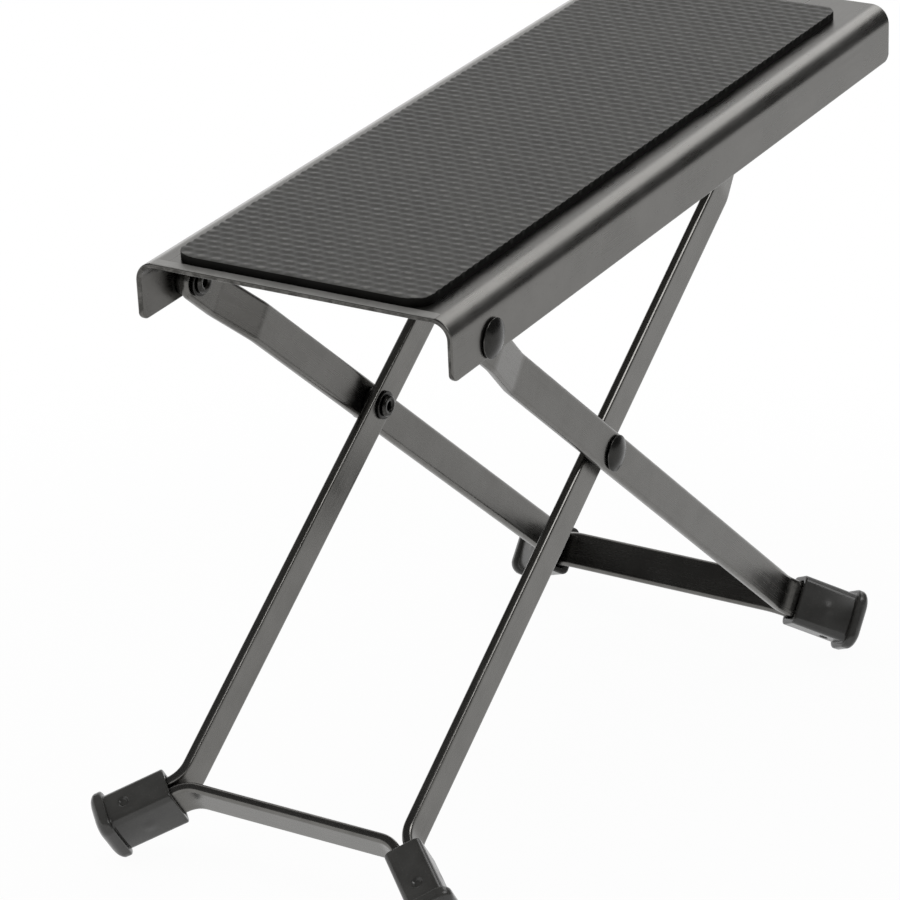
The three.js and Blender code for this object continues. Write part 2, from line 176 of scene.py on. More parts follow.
# A rounded rectangle: each point is a share of the way to a corner's centre, plus an arm of one radius.
# Flats have points close to both ends, so that their shading stays flat.
def roundedSection(flatShares):
    beta = np.linspace(0, np.pi / 2, sectionLook["arcCuts"])
    flat = np.array(flatShares)
    parts = []
    for quarter in range(4):
        angle = beta + quarter * np.pi / 2
        middle = quarter * np.pi / 2 + np.pi / 4
        signY, signZ = np.sign(np.cos(middle)), np.sign(np.sin(middle))
        parts.append(np.stack([signY + 0 * beta, signZ + 0 * beta, np.cos(angle), np.sin(angle)]))
        side = (quarter + 1) * np.pi / 2  # the flat after this corner faces this way
        outY, outZ = np.round(np.cos(side)), np.round(np.sin(side))
        startY, startZ = signY, signZ
        endY = -signY if outZ else signY
        endZ = -signZ if outY else signZ
        share = (flat + 1) / 2
        parts.append(np.stack([
            startY + (endY - startY) * share, startZ + (endZ - startZ) * share,
            outY + 0 * flat, outZ + 0 * flat,
        ]))
    return np.concatenate(parts, 1)


# Places of the section's points for given half sizes and corner radius, which may be arrays
def sectionPoints(section, halfY, halfZ, radius):
    halfY, halfZ, radius = (np.asarray(v, float)[..., None] for v in (halfY, halfZ, radius))
    y = section[0] * (halfY - radius) + section[2] * radius
    z = section[1] * (halfZ - radius) + section[3] * radius
    return y, z


# 1 on the section's corners and 0 on its flats
def sectionEdge(section):
    return np.clip(np.abs(section[2] * section[3]) * sectionLook["edgeGain"], 0, 1)


# Materials

# Each socket takes either a plain value or a link from another socket
def feed(tree, made, inputs):
    for socket, value in inputs.items():
        if isinstance(value, bpy.types.NodeSocket):
            tree.links.new(value, made.inputs[socket])
        else:
            made.inputs[socket].default_value = value


def addNode(tree, kind, inputs=None, **fields):
    made = tree.nodes.new("ShaderNode" + kind)
    for field, value in fields.items():
        setattr(made, field, value)
    feed(tree, made, inputs or {})
    return made


def newGroup(name, inputs, outputs):
    tree = bpy.data.node_groups.new(name, "ShaderNodeTree")
    for label, kind, value in inputs:
        socket = tree.interface.new_socket(label, in_out="INPUT", socket_type="NodeSocket" + kind)
        socket.default_value = value
    for label in outputs:
        tree.interface.new_socket(label, in_out="OUTPUT", socket_type="NodeSocketFloat")
    return tree, tree.nodes.new("NodeGroupInput").outputs, tree.nodes.new("NodeGroupOutput")


def useGroup(tree, group, **inputs):
    made = tree.nodes.new("ShaderNodeGroup")
    made.node_tree = group
    feed(tree, made, inputs)
    return made.outputs


# Stretches a span of a value smoothly to another span, held at both ends
def spread(tree, value, span=(0.0, 1.0), to=(0.0, 1.0)):
    inputs = {"Value": value, "From Min": span[0], "From Max": span[1], "To Min": to[0], "To Max": to[1]}
    return addNode(tree, "MapRange", inputs, interpolation_type="SMOOTHSTEP").outputs["Result"]


def calculate(tree, operation, *values):
    return addNode(tree, "Math", dict(enumerate(values)), operation=operation).outputs[0]


# Spans of the noises that are stretched to 0 to 1, ratios of their fineness, heights of the bumps
texture = {
    "grainSpan": (0.7, 1.3), "broadRatio": 0.17, "cloudSpan": (0.3, 0.7), "speckSpan": (0.62, 0.74),
    "speckRatio": 22.0, "rubSpan": (0.3, 0.62), "skinSpan": (0.4, 1.4), "steelBump": 0.05,
    "rubberBump": 0.08,
}


def noise(tree, place, scale, detail, roughness=0.5):
    inputs = {"Vector": place, "Scale": scale, "Detail": detail, "Roughness": roughness}
    return addNode(tree, "TexNoise", inputs).outputs["Fac"]


# Fine lines along the first direction of the place, with broader streaks under them
def makeGrain():
    tree, given, out = newGroup(
        "drawnGrain",
        [("Place", "Vector", (0, 0, 0)), ("Fineness", "Float", 2500), ("Stretch", "Float", 0.03)],
        ["Shade", "Height"],
    )
    along = calculate(tree, "MULTIPLY", given["Fineness"], given["Stretch"])
    scale = addNode(tree, "CombineXYZ", {0: along, 1: given["Fineness"], 2: given["Fineness"]})
    drawn = addNode(tree, "VectorMath", {0: given["Place"], 1: scale.outputs[0]}, operation="MULTIPLY")
    fine = noise(tree, drawn.outputs[0], 1, 3)
    both = calculate(tree, "ADD", fine, noise(tree, drawn.outputs[0], texture["broadRatio"], 2))
    feed(tree, out, {"Shade": spread(tree, both, texture["grainSpan"]), "Height": fine})
    return tree


# Cloudy unevenness of a plated or moulded surface
def makeMottle():
    tree, given, out = newGroup(
        "cloudyMottle",
        [("Place", "Vector", (0, 0, 0)), ("Fineness", "Float", 60)],
        ["Shade", "Specks"],
    )
    cloud = noise(tree, given["Place"], given["Fineness"], 5, 0.6)
    finer = calculate(tree, "MULTIPLY", given["Fineness"], texture["speckRatio"])
    speck = noise(tree, given["Place"], finer, 2)
    feed(tree, out, {"Shade": spread(tree, cloud, texture["cloudSpan"]),
                     "Specks": spread(tree, speck, texture["speckSpan"])})
    return tree


# Wear and painted light along edges: the edge mark, broken up by noise
def makeEdgeWearAndLight():
    tree, given, out = newGroup(
        "edgeWearAndPaintedLight",
        [("Place", "Vector", (0, 0, 0)), ("Edge", "Float", 0), ("Fineness", "Float", 300)],
        ["Mask"],
    )
    patch = noise(tree, given["Place"], given["Fineness"], 4, 0.7)
    wearAndPaintedLight = calculate(tree, "MULTIPLY", given["Edge"], patch)
    feed(tree, out, {"Mask": spread(tree, wearAndPaintedLight, texture["rubSpan"])})
    return tree


# Fine pebbled skin of moulded rubber
def makeSkinTexture():
    tree, given, out = newGroup(
        "mouldedSkin",
        [("Place", "Vector", (0, 0, 0)), ("Fineness", "Float", 2200)],
        ["Shade", "Height"],
    )
    cell = addNode(tree, "TexVoronoi", {"Vector": given["Place"], "Scale": given["Fineness"]})
    grit = noise(tree, given["Place"], given["Fineness"], 3)
    mixed = calculate(tree, "ADD", cell.outputs["Distance"], grit)
    feed(tree, out, {"Shade": spread(tree, mixed, texture["skinSpan"]), "Height": mixed})
    return tree


grain, mottle, edgeWearAndLight, skinTexture = makeGrain(), makeMottle(), makeEdgeWearAndLight(), makeSkinTexture()


def newMaterial(name):
    material = bpy.data.materials.new(name)
    material.use_nodes = True
    tree = material.node_tree
    return material, tree, tree.nodes["Principled BSDF"]


# The place along the piece's own surface and the edge mark, which the mesh carries at each point
def readMarks(tree):
    place = addNode(tree, "Attribute", attribute_name="ownPlace").outputs["Vector"]
    return place, addNode(tree, "Attribute", attribute_name="edge").outputs["Fac"]


# The colour sockets of a mix are numbers 6 and 7, its colour output is number 2
def mixColours(tree, share, first, second):
    made = addNode(tree, "Mix", {"Factor": share}, data_type="RGBA")
    for socket, colour in ((6, first), (7, second)):
        feed(tree, made, {socket: (*colour, 1) if isinstance(colour, tuple) else colour})
    return made.outputs[2]


# Lays a colour over the one below, as far as the mask and the share let it
def layer(tree, below, mask, share, colour):
    return mixColours(tree, calculate(tree, "MULTIPLY", mask, share), below, colour)


# Plated steel: drawn grain under the plating, cloudy shade, edges rubbed smoother and given their own
# tone, partly wear and partly painted light
def plainSteel(name, look, marked=True):
    material, tree, shader = newMaterial(name)
    place, edge = readMarks(tree) if marked else (addNode(tree, "TexCoord").outputs["Object"], 0.0)
    lines = useGroup(tree, grain, Place=place, Fineness=look["grain"], Stretch=look["stretch"])
    cloud = useGroup(tree, mottle, Place=place, Fineness=look["cloud"])
    wearAndPaintedLight = useGroup(tree, edgeWearAndLight, Place=place, Edge=edge, Fineness=look["edgeWearAndLight"])
    shade = mixColours(tree, cloud["Shade"], look["dark"], look["light"])
    lined = layer(tree, shade, lines["Shade"], look["lineShare"], look["line"])
    specked = layer(tree, lined, cloud["Specks"], look["speckShare"], look["speck"])
    colour = layer(tree, specked, wearAndPaintedLight["Mask"], look["wearAndPaintedLightShare"], look["bare"])
    rough = calculate(tree, "MULTIPLY_ADD", lines["Shade"], look["roughLines"], look["rough"])
    cloudy = calculate(tree, "MULTIPLY_ADD", cloud["Shade"], look["roughCloud"], rough)
    smoothed = calculate(tree, "MULTIPLY_ADD", wearAndPaintedLight["Mask"], -look["rubSmooth"], cloudy)
    height = calculate(tree, "MULTIPLY_ADD", cloud["Shade"], look["cloudHeight"], lines["Height"])
    bump = addNode(tree, "Bump", {
        "Strength": look["bump"], "Distance": texture["steelBump"] * mm, "Height": height,
    })
    feed(tree, shader, {"Base Color": colour, "Roughness": smoothed, "Normal": bump.outputs["Normal"],
                        "Metallic": look["metal"]})
    return material


# edges take their own tone: partly wear, partly a painted highlight along rounded edges
steelLook = {
    "dark": (0.122, 0.119, 0.112), "light": (0.158, 0.154, 0.146), "line": (0.18, 0.176, 0.167),
    "speck": (0.085, 0.083, 0.08), "bare": (0.26, 0.255, 0.243),
    "lineShare": 0.35, "speckShare": 0.2, "wearAndPaintedLightShare": 0.15,
    "grain": 3200, "stretch": 0.02, "cloud": 70, "edgeWearAndLight": 260,
    "rough": 0.2, "roughLines": 0.07, "roughCloud": 0.06, "rubSmooth": 0.06,
    "bump": 0.14, "cloudHeight": 1.5, "metal": 0.96,
}
# the tread's edge tone is dark: painted shade on its cut faces and under its rounded ends
treadSteel = plainSteel("treadSteel", {
    **steelLook, "bare": (0.045, 0.044, 0.041), "wearAndPaintedLightShare": 0.9,
    "stretch": 0.05, "cloud": 45, "bump": 0.1, "rough": 0.24,
})
stripSteel = plainSteel("stripSteel", steelLook)
# the rear frame's steel is a darker copy of the strip steel: painted shade
shadedRearSteel = plainSteel("shadedRearSteel", {
    **steelLook, "dark": (0.104, 0.101, 0.095), "light": (0.135, 0.132, 0.125),
    "line": (0.155, 0.151, 0.143),
})
# a paler, rougher steel for the flat strip in front of the pad: a painted reflection
paintedReflectionSteel = plainSteel("paintedReflectionSteel", {
    **steelLook, "dark": (0.26, 0.256, 0.245), "light": (0.31, 0.306, 0.293),
    "line": (0.34, 0.334, 0.32), "bare": (0.3, 0.295, 0.28),
    "stretch": 0.05, "rough": 0.45, "metal": 0.35,
})
rackSteel = plainSteel("rackSteel", {**steelLook, "stretch": 0.05}, marked=False)
# the rivets' rims and rolled ends take a pale edge tone: partly wear, partly a painted highlight
rivetSteel = plainSteel("rivetSteel", {
    **steelLook, "dark": (0.024, 0.0236, 0.0224), "light": (0.038, 0.0372, 0.0356),
    "line": (0.05, 0.049, 0.047), "bare": (0.3, 0.295, 0.28), "wearAndPaintedLightShare": 0.4,
    "roughLines": 0.06, "grain": 4000, "stretch": 1, "bump": 0.08,
})


# Rubber: a pebbled skin, cloudy shade, a little pale dust, and a paler edge tone that is partly wear and
# partly a painted highlight
def plainRubber(name, look):
    material, tree, shader = newMaterial(name)
    place, edge = readMarks(tree)
    skin = useGroup(tree, skinTexture, Place=place, Fineness=look["skin"])
    cloud = useGroup(tree, mottle, Place=place, Fineness=look["cloud"])
    wearAndPaintedLight = useGroup(tree, edgeWearAndLight, Place=place, Edge=edge, Fineness=look["edgeWearAndLight"])
    shade = mixColours(tree, cloud["Shade"], look["dark"], look["light"])
    dusty = layer(tree, shade, cloud["Specks"], look["dustShare"], look["dust"])
    colour = layer(tree, dusty, wearAndPaintedLight["Mask"], look["wearAndPaintedLightShare"], look["wearAndPaintedLight"])
    rough = calculate(tree, "MULTIPLY_ADD", skin["Shade"], look["roughSkin"], look["rough"])
    cloudy = calculate(tree, "MULTIPLY_ADD", cloud["Shade"], look["roughCloud"], rough)
    bump = addNode(tree, "Bump", {
        "Strength": look["bump"], "Distance": texture["rubberBump"] * mm, "Height": skin["Height"],
    })
    feed(tree, shader, {"Base Color": colour, "Roughness": cloudy, "Normal": bump.outputs["Normal"],
                        "Specular IOR Level": look["gloss"]})
    return material


rubberLook = {
    "dark": (0.036, 0.0353, 0.0335), "light": (0.05, 0.0492, 0.0465), "dust": (0.12, 0.118, 0.11),
    "wearAndPaintedLight": (0.07, 0.069, 0.065), "dustShare": 0.2, "wearAndPaintedLightShare": 0.3,
    "skin": 2600, "cloud": 90, "edgeWearAndLight": 300,
    "rough": 0.16, "roughSkin": 0.05, "roughCloud": 0.06, "bump": 0.1, "gloss": 0.45,
}
footRubber = plainRubber("footRubber", rubberLook)
# pale rib tops: partly wear, partly a painted highlight
padField = plainRubber("padField", {
    **rubberLook, "dark": (0.055, 0.054, 0.051), "light": (0.073, 0.072, 0.068),
    "wearAndPaintedLight": (0.165, 0.163, 0.155), "rough": 0.5, "skin": 3400, "cloud": 40, "dustShare": 0.1,
    "wearAndPaintedLightShare": 0.75, "gloss": 0.3, "bump": 0.2,
})
# the pad's walls: a near-black copy of the pad's rubber, painted shade
shadedPadWall = plainRubber("shadedPadWall", {
    **rubberLook, "dark": (0.006, 0.0058, 0.0054), "light": (0.010, 0.0097, 0.009),
    "rough": 0.5, "bump": 0.06, "gloss": 0.05, "dustShare": 0.02,
})
print("materials made")

# Tread plate: the channel's middle line carried along X, with half the sheet on either side
plate = {
    "length": 276, "width": 100, "depth": 18, "sheet": 1.5, "bend": 6, "corner": 3,
    "edgeRound": 0.45, "edgeCuts": 5, "flatCuts": 13, "bendCuts": 22, "flangeCuts": 9, "lengthCuts": 60,
    "besideBend": 0.3, "belowBend": 0.8, "aboveEdge": 0.2, "cornerFrom": 0.62, "cornerCuts": 9,
    "besideCorner": 0.6, "cutFace": 0.02, "weld": 0.002, "paintedReflectionStart": 0.09, "paintedReflectionEnd": 3.7,
    "paintedReflectionOver": 1,
}


# The channel's middle line at a developed distance from its centre: flat, quarter circle, straight down
def channelLine(distance):
    half = plate["width"] / 2 - plate["bend"]
    radius = plate["bend"] - plate["sheet"] / 2
    beyond = np.abs(distance) - half
    turn = np.clip(beyond / radius, 0, np.pi / 2)
    down = np.maximum(beyond - radius * np.pi / 2, 0)
    side = np.sign(distance)
    y = np.minimum(np.abs(distance), half) + radius * np.sin(turn)
    z = radius * np.cos(turn) - plate["bend"] - down
    return side * y, z, side * np.sin(turn), np.cos(turn)


# Faces whose points all have a mark above the limit take the second of the piece's materials
def chooseFaces(made, marks, limit):
    vertexOfLoop = np.zeros(len(made.data.loops), int)
    made.data.loops.foreach_get("vertex_index", vertexOfLoop)
    starts = np.zeros(len(made.data.polygons), int)
    made.data.polygons.foreach_get("loop_start", starts)
    least = np.minimum.reduceat(marks[vertexOfLoop], starts)
    made.data.polygons.foreach_set("material_index", (least > limit).astype(int))


# The sheet's outline, a ring over and under the middle line, goes out from that line by its own normal
def makePlate():
    half = plate["width"] / 2 - plate["bend"]
    radius = plate["bend"] - plate["sheet"] / 2
    core = half + radius * np.pi / 2
    flange = plate["depth"] - plate["bend"]
    roundOff = plate["edgeRound"]
    thick = plate["sheet"] / 2
    # from the centre line to the flange's edge, close-set at both ends of each bend
    way = np.concatenate([
        np.linspace(0, half, plate["flatCuts"], endpoint=False),
        [half - plate["besideBend"]],
        np.linspace(half, core, plate["bendCuts"]),
        [core + plate["besideBend"]],
        np.linspace(core + plate["belowBend"], core + flange - roundOff - plate["aboveEdge"],
                    plate["flangeCuts"]),
    ])
    beta = np.linspace(0, np.pi / 2, plate["edgeCuts"])
    edgeWay = core + flange - roundOff * (1 - np.sin(beta))
    edgeOut = thick - roundOff * (1 - np.cos(beta))
    outWay = np.concatenate([way, edgeWay])
    outUp = np.concatenate([np.full(way.size, thick), edgeOut])
    rightWay = np.concatenate([outWay, outWay[::-1]])
    rightUp = np.concatenate([outUp, -outUp[::-1]])
    ringWay = np.concatenate([rightWay, -rightWay[-2:0:-1]])
    ringUp = np.concatenate([rightUp, rightUp[-2:0:-1]])
    # ends: the flange gets shorter round its corner, the sheet thinner round its edge
    corner = plate["corner"]
    near = np.concatenate([
        [0, 0],
        roundOff * (1 - np.cos(beta[1:])),
        corner * (1 - np.cos(np.linspace(plate["cornerFrom"], np.pi / 2, plate["cornerCuts"]))),
        [corner + plate["besideCorner"]],
    ])
    middle = np.linspace(near[-1], plate["length"] - near[-1], plate["lengthCuts"])[1:-1]
    along = np.concatenate([near, middle, plate["length"] - near[::-1]])
    fromEnd = np.minimum(along, plate["length"] - along)
    thin = 1 - quarterSink(roundOff, fromEnd) / thick
    thin[0] = thin[-1] = 0
    share = 1 - quarterSink(corner, fromEnd) / flange
    beyond = np.maximum(np.abs(ringWay) - core, 0)
    distance = np.sign(ringWay) * (np.minimum(np.abs(ringWay), core) + beyond * share[:, None])
    y, z, outY, outZ = channelLine(distance)
    lift = ringUp * thin[:, None]
    x = np.broadcast_to(along[:, None], y.shape)
    rings = np.stack([x, y + outY * lift, z + outZ * lift], -1)
    own = np.stack([x, distance, lift], -1) * mm
    # painted shade: dark on the cut faces and on the lower half of the rounded ends
    cutFace = (fromEnd < plate["cutFace"])[:, None] | ((fromEnd < roundOff)[:, None] & (ringUp < 0))
    edge = ((np.abs(ringUp) < thick - plate["cutFace"] / 2) | cutFace) * 1.0
    faces = gridFaces(len(along), len(ringWay), closeColumns=True)
    made = makePiece("treadPlate", stand(rings.reshape(-1, 3), "tread"), faces,
                     {"ownPlace": own.reshape(-1, 3), "edge": edge.reshape(-1)}, plate["weld"])
    settle(made, "tread", "tread_plate", "tread_steel", treadSteel, paintedReflectionSteel)
    # the flat strip in front of the pad takes a paler, rougher steel: a painted reflection of bright
    # light
    place = np.zeros(len(made.data.vertices) * 3)
    made.data.attributes["ownPlace"].data.foreach_get("vector", place)
    along, across, lift = place.reshape(-1, 3).T / mm
    onStrip = (along > plate["paintedReflectionStart"]) & (along < plate["paintedReflectionEnd"])
    onFlat = (lift > 0) & (np.abs(across) < half + plate["paintedReflectionOver"])
    chooseFaces(made, (onStrip & onFlat).astype(float), 0.5)


makePlate()
print("tread plate made")

# Pad: one height field. A slab with upright walls, and lens-shaped ribs set in quincunx all over its top
pad = {
    "start": 3.5, "length": 257.5, "width": 79.5, "height": 2.9, "corner": 6, "edgeRound": 0.4,
    "lift": 0.06, "ribAlong": 3.26, "ribAcross": 4.76, "ribDepth": 0.36, "halfRibAlong": 1.35,
    "halfRibAcross": 2.3, "ribPoint": 1.7, "ribDome": 0.85, "cutsAlong": 6, "cutsAcross": 8,
    "nearWall": (0, 0.02, 0.06, 0.12, 0.22, 0.4, 0.75), "wallZone": 1.1, "edgeZone": 4.0,
    "darkInset": 0.12, "fieldWearAndHighlight": 1.0, "padEdgeWearAndHighlight": 0.7, "padEdgeHighlightReach": 1.3,
}


# Each rib is (1 - (x / a)^1.7 - (y / b)^2)^0.85, a dome narrow in X and long in Y, like a lens
def ribHeight(x, y):
    column = np.round(x / pad["ribAlong"])
    shiftX = x - column * pad["ribAlong"]
    across = y / pad["ribAcross"] + 0.5 * (column % 2)
    shiftY = (across - np.round(across)) * pad["ribAcross"]
    reach = (np.abs(shiftX) / pad["halfRibAlong"]) ** pad["ribPoint"]
    reach += (np.abs(shiftY) / pad["halfRibAcross"]) ** 2
    return np.clip(1 - reach, 0, 1) ** pad["ribDome"]


# Places of the grid's lines on both sides of the middle: even steps, and closer ones beside the wall
def padCuts(half, pitch, count):
    inner = np.arange(0, half - pad["wallZone"], pitch / count)
    positive = np.concatenate([inner, half - np.array(pad["nearWall"])[::-1]])
    return np.concatenate([-positive[:0:-1], positive])


# The top's height is the pad's, less the ribs' depth between them, less a quarter circle at the edge
def makePad():
    halfLength, halfWidth = pad["length"] / 2, pad["width"] / 2
    u = padCuts(halfLength, pad["ribAlong"], pad["cutsAlong"])
    v = padCuts(halfWidth, pad["ribAcross"], pad["cutsAcross"])
    x, y = np.meshgrid(u, v, indexing="ij")
    # the corner's arc takes the ends of the outer rows in
    corner, zone = pad["corner"], pad["edgeZone"]
    take = quarterSink(corner, halfWidth - np.abs(y))
    fromEnd = halfLength - np.abs(x)
    reach = zone + take
    moved = np.where(fromEnd < reach, take + fromEnd * (reach - take) / reach, fromEnd)
    x = np.sign(x) * (halfLength - moved)
    inset = np.minimum(halfLength - take - np.abs(x), halfWidth - np.abs(y))
    rib = ribHeight(x, y)
    z = pad["height"] - pad["ribDepth"] * (1 - rib)
    z -= quarterSink(pad["edgeRound"], np.maximum(inset, 0))
    upper = np.stack([x + pad["start"] + halfLength, y, z], -1)
    under = upper.copy()
    under[..., 2] = pad["lift"]
    rows, columns = z.shape
    count = rows * columns
    number = np.arange(count).reshape(rows, columns)
    loop = np.concatenate([number[:-1, 0], number[-1, :-1], number[:0:-1, -1], number[0, :0:-1]])
    after = np.roll(loop, -1)
    # underneath only the outline and one middle point are needed
    rimPoints = under.reshape(-1, 3)[loop]
    base = count + np.arange(loop.size)
    baseAfter = np.roll(base, -1)
    centre = count + loop.size
    points = np.concatenate([upper.reshape(-1, 3), rimPoints, rimPoints.mean(0)[None]])
    faces = gridFaces(rows, columns).tolist()
    faces += np.stack([loop, after, baseAfter, base], -1).tolist()
    faces += np.stack([base, baseAfter, np.full(base.size, centre)], -1).tolist()
    # the ribs are painted pale on top, partly as wear and partly as a painted highlight, most of all
    # along the pad's edges
    nearEdge = np.exp(-np.maximum(inset, 0) / pad["padEdgeHighlightReach"])
    ribWearAndHighlight = rib * (pad["fieldWearAndHighlight"] + pad["padEdgeWearAndHighlight"] * nearEdge)
    edge = np.concatenate([ribWearAndHighlight.reshape(-1), np.zeros(loop.size + 1)])
    made = makePiece("treadPad", stand(points, "tread"), faces,
                     {"ownPlace": points * mm, "edge": edge})
    rework(made.data, outwards=True)
    settle(made, "tread", "tread_pad", "pad_rubber", shadedPadWall, padField)
    # faces with a corner on the wall or just inside it take the near-black copy of the rubber: painted
    # shade
    onTop = np.concatenate([inset.reshape(-1), np.zeros(loop.size + 1)])
    chooseFaces(made, onTop, pad["darkInset"])


makePad()
print("pad made")

# Frames: a rounded flat section carried along the strip's path
strip = {
    "width": 12, "thickness": 3, "round": 1.25, "lugAngle": 47, "lugLength": 18.5, "lugGap": 0.8,
    "legBend": 9.5, "crossbarBend": 9.5, "joggleRadius": 14, "joggleLength": 20, "arcStep": 5,
    "runStep": 7, "besideArc": 0.4, "shortRun": 0.5, "tipFrom": 0.08, "tipCuts": 14, "belowTip": 0.3,
    "fullest": 0.98, "tipWear": 0.8, "flatCuts": (-0.92, -0.5, 0, 0.5, 0.92),
}
rear = {
    "group": "rear", "topReach": 105.4, "joggleStart": 13, "topSide": 45.2, "side": 41.7,
    "footReach": 155.9, "body": "rear_leg", "node": "rear_frame", "steel": shadedRearSteel,
}
front = {
    "group": "front", "topReach": 128.2, "joggleStart": 12, "topSide": 33.4, "side": 36.9,
    "footReach": 136.6, "body": "front_leg", "node": "front_frame", "steel": stripSteel,
}


# The bends of one leg's half of the strip from its top to the crossbar, then mirrored in Y; X runs down
def frameCorners(leg):
    angle = np.radians(strip["lugAngle"])
    halfPitch = (strip["thickness"] + strip["lugGap"]) / 2
    turnPlace = strip["lugLength"] - strip["thickness"] / 2
    side, reach = leg["side"], leg["footReach"]
    joggleX = leg["joggleStart"] - leg["topReach"]

    def lugEnd(offset):
        return (reach + np.cos(angle) * turnPlace - np.sin(angle) * offset,
                side + np.sin(angle) * turnPlace + np.cos(angle) * offset, halfPitch)

    half = [
        (-leg["topReach"] - strip["width"] / 2, leg["topSide"], 0),
        (joggleX, leg["topSide"], strip["joggleRadius"]),
        (joggleX + strip["joggleLength"], side, strip["joggleRadius"]),
        (reach - halfPitch / np.sin(angle), side, strip["legBend"]),
        lugEnd(halfPitch),
        lugEnd(-halfPitch),
        (reach, side - halfPitch / np.cos(angle), strip["crossbarBend"]),
    ]
    return half + [(x, -y, radius) for x, y, radius in reversed(half)]


# Path along corners: straight runs, and circular arcs that touch them; headings are the running angle
def roundedPath(corners):
    place = np.array([corners[0][:2]])
    heading = np.array([np.arctan2(*(np.array(corners[1][:2]) - corners[0][:2])[::-1])])
    for before, here, after in zip(corners, corners[1:], corners[2:]):
        into = np.arctan2(here[1] - before[1], here[0] - before[0])
        away = np.arctan2(after[1] - here[1], after[0] - here[0])
        turn = (away - into + np.pi) % (2 * np.pi) - np.pi
        radius, hand = here[2], np.sign(turn)
        reach = radius * np.tan(abs(turn) / 2)
        centre = (np.array(here[:2]) - reach * np.array([np.cos(into), np.sin(into)])
                  + hand * radius * np.array([-np.sin(into), np.cos(into)]))
        steps = int(np.ceil(np.degrees(abs(turn)) / strip["arcStep"]))
        angle = into + turn * np.linspace(0, 1, steps + 1)
        bend = centre + hand * radius * np.stack([np.sin(angle), -np.cos(angle)], -1)
        place, heading = joinRun(place, heading, bend[0], into)
        place, heading = np.concatenate([place, bend]), np.concatenate([heading, angle])
    end = np.array(corners[-1][:2])
    into = np.arctan2(*(end - place[-1])[::-1])
    place, heading = joinRun(place, heading, end, into)
    return np.concatenate([place, end[None]]), np.concatenate([heading, [into]])


# Points on the straight run to the next arc, close-set at both of its ends; a point met twice goes
def joinRun(place, heading, target, angle):
    run = target - place[-1]
    length = np.hypot(*run)
    if length < strip["shortRun"]:
        return (place[:-1], heading[:-1]) if length < 1e-6 else (place, heading)
    ends = min(strip["besideArc"], length / 4)
    share = np.linspace(ends, length - ends, max(2, int(length / strip["runStep"]) + 1)) / length
    between = place[-1] + run * share[:, None]
    return np.concatenate([place, between]), np.concatenate([heading, np.full(share.size, angle)])


# The section stands upright on the path: across goes along the path's normal, up goes along Z
def makeFrame(leg):
    place, heading = roundedPath(frameCorners(leg))
    # finer steps over the rounded top of each leg
    radius = strip["width"] / 2
    tip = radius * (1 - np.cos(np.linspace(strip["tipFrom"], np.pi / 2, strip["tipCuts"])))
    away = np.hypot(*np.diff(place, axis=0).T)
    along = np.concatenate([[0], np.cumsum(away)])
    total = along[-1]
    below = radius + strip["belowTip"]
    keep = (along > below) & (along < total - below)
    startWay = place[0] + tip[:, None] * np.array([np.cos(heading[0]), np.sin(heading[0])])
    endWay = place[-1] - tip[::-1, None] * np.array([np.cos(heading[-1]), np.sin(heading[-1])])
    place = np.concatenate([startWay, place[keep], endWay])
    heading = np.concatenate([
        np.full(tip.size, heading[0]), heading[keep], np.full(tip.size, heading[-1]),
    ])
    along = np.concatenate([tip, along[keep], total - tip[::-1]])
    fromEnd = np.minimum(along, total - along)
    halfWidth = radius - quarterSink(radius, fromEnd)
    soft = strip["round"]
    halfThick = strip["thickness"] / 2 - quarterSink(soft, fromEnd)
    roundOff = np.minimum(soft, np.minimum(halfWidth, halfThick) * strip["fullest"])
    section = roundedSection(strip["flatCuts"])
    across, up = sectionPoints(section, halfThick, halfWidth, roundOff)
    x = place[:, :1] - across * np.sin(heading)[:, None]
    y = place[:, 1:] + across * np.cos(heading)[:, None]
    rings = np.stack([x, y, up], -1)
    own = np.stack([np.broadcast_to(along[:, None], up.shape), across, up], -1) * mm
    edge = np.maximum(sectionEdge(section), (fromEnd < soft)[:, None] * strip["tipWear"]) + 0 * up
    made = makeSkin(leg["node"].replace("_frame", "Frame"), rings,
                    {"ownPlace": own, "edge": edge}, leg["group"])
    settle(made, leg["body"], leg["node"], "strip_steel", leg["steel"])


makeFrame(rear)
makeFrame(front)
print("frames made")

# Feet: rounded rectangles one after the other, from inside the mouth over the sleeve to the domed cap
foot = {
    "pocketY": 3.7, "pocketZ": 6.3, "sleeveY": 5.6, "sleeveZ": 8.2, "mouth": 2.66, "sleeveEnd": 21.3,
    "sleeveCorner": 2.1, "lip": 0.5, "capY": 7.3, "capZ": 9.9, "capEnd": 26.2,
    "capCorner": 3.9, "capFull": 1.7, "capRound": 0.7, "cuts": 40, "arcCuts": 5, "pocketCorner": 0.9,
    "pocketAt": (18.8, 11.28, 4.16, 3.26), "mouthCorner": 1.0, "lipCorner": 0.5, "aboveLip": 0.3,
    "besideCap": 0.7, "fillet": 0.35, "rimCorner": 0.6, "domeCuts": (0.08, 0.99, 18),
    "domeFullness": 0.55, "domeCorner": 0.6, "domePoint": 1.8, "flatCuts": (-0.94, 0.94, 13),
    "dimpleAt": 16.0, "dimpleRadius": 1.5, "dimpleDepth": 1.1, "dimpleWall": 0.35, "swellAt": 12.5,
    "swellRadius": 2.8, "swellHeight": 0.22, "crown": 0.16, "waist": 0.05, "rimWearAndHighlight": 1.6,
}


